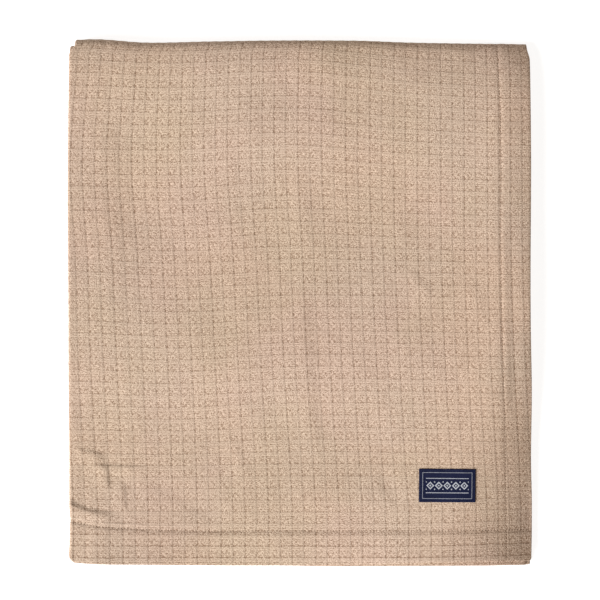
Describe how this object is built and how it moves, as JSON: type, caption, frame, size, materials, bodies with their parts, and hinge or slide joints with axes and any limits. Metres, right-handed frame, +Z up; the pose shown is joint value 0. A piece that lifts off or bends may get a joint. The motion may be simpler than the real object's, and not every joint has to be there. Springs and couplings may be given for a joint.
{
  "type": "folded jacquard bedspread",
  "caption": "Hemmed cotton bedspread with a raised jacquard check, folded back and forth into a flat rectangular stack, with a small woven label sewn inside one hemmed corner.",
  "frame": {"origin": "middle of the rectangle that the folded stack covers, on the surface it rests on", "axes": "+Z up through the stack, +Y towards the thick fold, +X towards the top ply's side hem"},
  "size_m": [0.536, 0.61, 0.0363],
  "materials": {
    "cotton": "matt beige jacquard cotton, a crepe check between smooth bands",
    "label_weave": "dense navy satin weave with off-white yarn"
  },
  "bodies": {
    "root": {"bedspread": "cotton", "woven_label": "label_weave"}
  },
  "joints": []
}
